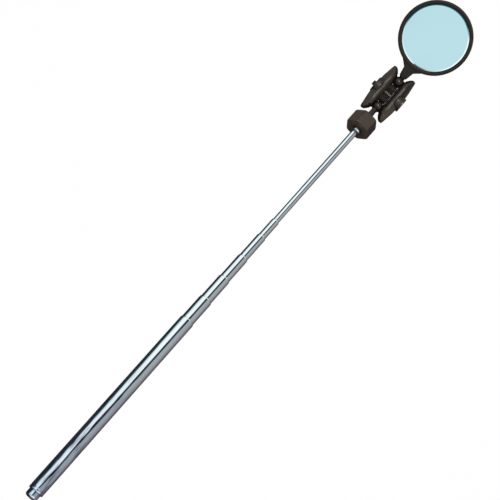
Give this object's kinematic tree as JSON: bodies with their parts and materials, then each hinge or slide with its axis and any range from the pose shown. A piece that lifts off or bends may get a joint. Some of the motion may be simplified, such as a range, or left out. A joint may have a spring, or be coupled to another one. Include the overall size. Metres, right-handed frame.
{
  "type": "telescoping inspection mirror",
  "caption": "Round mirror head on a two-ball clamp joint with one tension screw, carried by a telescoping chromed friction pole.",
  "frame": {"origin": "centre of the flat end of the tail stub, on the pole's axis", "axes": "+X along the pole from the tail to the mirror, +Z to the side the glass faces at rest, +Y to the nut side of the clamp"},
  "size_m": [0.4793, 0.0584, 0.0679],
  "materials": {
    "polished_chrome": "bright chrome plate on drawn tube",
    "spring_brass": "plain drawn brass",
    "black_plastic": "satin moulded, fine grain",
    "black_ball": "satin moulded, burnished by its cups",
    "black_steel": "black oxide, lightly oiled",
    "foam_tape": "matt foam tape",
    "mirror_glass": "silvered float glass with ground edge"
  },
  "bodies": {
    "handle": {"handle_tube": "polished_chrome", "tail_plug": "polished_chrome"},
    "stage_2_slider": {"stage_2_sleeve": "spring_brass"},
    "stage_2": {"stage_2_tube": "polished_chrome"},
    "stage_3_slider": {"stage_3_sleeve": "spring_brass"},
    "stage_3": {"stage_3_tube": "polished_chrome"},
    "stage_4_slider": {"stage_4_sleeve": "spring_brass"},
    "stage_4": {"stage_4_tube": "polished_chrome"},
    "stage_5_slider": {"stage_5_sleeve": "spring_brass"},
    "stage_5": {"stage_5_tube": "polished_chrome"},
    "stage_6_slider": {"stage_6_sleeve": "spring_brass"},
    "stage_6": {"stage_6_tube": "polished_chrome"},
    "tip_slider": {"tip_sleeve": "spring_brass"},
    "tip": {"tip_tube": "polished_chrome", "tip_ferrule": "polished_chrome", "tip_insert": "spring_brass", "hex_collar": "black_plastic", "ball_stud": "black_ball"},
    "lower_ball": {"lower_ball": "black_ball"},
    "clamp": {"right_jaw": "black_plastic", "spring_washer": "black_steel"},
    "left_jaw": {"left_jaw": "black_plastic", "tension_nut": "black_steel"},
    "screw": {"tension_screw": "black_steel"},
    "upper_ball": {"upper_ball": "black_ball"},
    "mirror_head": {"mirror_frame": "black_plastic", "mirror_pad": "foam_tape", "mirror_glass": "mirror_glass"}
  },
  "joints": [
    {"name": "stage_2_slide", "type": "slide", "parent": "handle", "child": "stage_2_slider", "axis": [1, 0, 0], "range_m": [-0.0178, 0.0992]},
    {"name": "stage_2_spin", "type": "hinge", "parent": "stage_2_slider", "child": "stage_2", "pos_m": [0.1577, 0, 0], "axis": [1, 0, 0], "continuous": true},
    {"name": "stage_3_slide", "type": "slide", "parent": "stage_2", "child": "stage_3_slider", "axis": [1, 0, 0], "range_m": [-0.0183, 0.0987]},
    {"name": "stage_3_spin", "type": "hinge", "parent": "stage_3_slider", "child": "stage_3", "pos_m": [0.1785, 0, 0], "axis": [1, 0, 0], "continuous": true},
    {"name": "stage_4_slide", "type": "slide", "parent": "stage_3", "child": "stage_4_slider", "axis": [1, 0, 0], "range_m": [-0.0189, 0.0981]},
    {"name": "stage_4_spin", "type": "hinge", "parent": "stage_4_slider", "child": "stage_4", "pos_m": [0.1998, 0, 0], "axis": [1, 0, 0], "continuous": true},
    {"name": "stage_5_slide", "type": "slide", "parent": "stage_4", "child": "stage_5_slider", "axis": [1, 0, 0], "range_m": [-0.0194, 0.0976]},
    {"name": "stage_5_spin", "type": "hinge", "parent": "stage_5_slider", "child": "stage_5", "pos_m": [0.2217, 0, 0], "axis": [1, 0, 0], "continuous": true},
    {"name": "stage_6_slide", "type": "slide", "parent": "stage_5", "child": "stage_6_slider", "axis": [1, 0, 0], "range_m": [-0.0141, 0.1029]},
    {"name": "stage_6_spin", "type": "hinge", "parent": "stage_6_slider", "child": "stage_6", "pos_m": [0.2441, 0, 0], "axis": [1, 0, 0], "continuous": true},
    {"name": "tip_slide", "type": "slide", "parent": "stage_6", "child": "tip_slider", "axis": [1, 0, 0], "range_m": [-0.1042, 0.0128]},
    {"name": "tip_spin", "type": "hinge", "parent": "tip_slider", "child": "tip", "pos_m": [0.2612, 0, 0], "axis": [1, 0, 0], "continuous": true},
    {"name": "lower_ball_turn", "type": "hinge", "parent": "tip", "child": "lower_ball", "pos_m": [0.3973, 0, 0], "axis": [1, 0, 0], "continuous": true},
    {"name": "lower_ball_swing", "type": "hinge", "parent": "lower_ball", "child": "clamp", "pos_m": [0.3973, 0, 0], "axis": [0, -1, 0], "range_deg": [-100, 60]},
    {"name": "upper_ball_swing", "type": "hinge", "parent": "clamp", "child": "upper_ball", "pos_m": [0.42173, 0, 0.00889], "axis": [0, -1, 0], "range_deg": [-100, 60]},
    {"name": "mirror_turn", "type": "hinge", "parent": "upper_ball", "child": "mirror_head", "pos_m": [0.42173, 0, 0.00889], "axis": [0.766, 0, 0.6428], "continuous": true},
    {"name": "tension_screw_turn", "type": "hinge", "parent": "clamp", "child": "screw", "pos_m": [0.40952, 0, 0.00445], "axis": [0, -1, 0], "range_deg": [0, 540]},
    {"name": "left_jaw_open", "type": "slide", "parent": "clamp", "child": "left_jaw", "axis": [0, 1, 0], "range_m": [0, 0.00105]}
  ],
  "couplings": [
    {"joint": "tension_screw_turn", "follows": "left_jaw_open", "rad_per_m": 8976}
  ]
}
